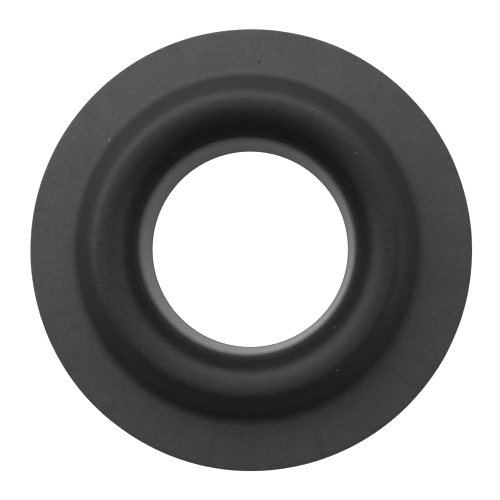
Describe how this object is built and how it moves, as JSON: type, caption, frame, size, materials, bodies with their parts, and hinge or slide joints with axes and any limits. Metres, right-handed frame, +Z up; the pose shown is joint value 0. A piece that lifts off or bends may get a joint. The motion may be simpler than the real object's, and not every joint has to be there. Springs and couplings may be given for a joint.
{
  "type": "toilet flange",
  "caption": "Waxless toilet flange: a flat soft rim with a raised round sealing bead, and a smooth tube with soft fins that enters the drain pipe.",
  "frame": {"origin": "on the axis of the drain, in the plane of the floor gasket's underside", "axes": "+Z up the drain's axis towards the bowl, +X through the opening of the lock ring, +Y by the right-hand rule"},
  "size_m": [0.14, 0.14, 0.049],
  "materials": {
    "cover_rubber": "matte rim, satin bead",
    "core_foam": "closed-cell foam",
    "carrier_plastic": "matte moulded",
    "horn_plastic": "smooth gloss",
    "washer_rubber": "matte",
    "lock_steel": "spring steel",
    "seal_rubber": "satin",
    "gasket_foam": "closed-cell foam"
  },
  "bodies": {
    "root": {"flange_cover": "cover_rubber", "bead_core": "core_foam", "carrier_ring": "carrier_plastic", "drain_horn": "horn_plastic", "horn_washer": "washer_rubber", "lock_ring": "lock_steel", "pipe_seal": "seal_rubber", "floor_gasket": "gasket_foam"}
  },
  "joints": []
}
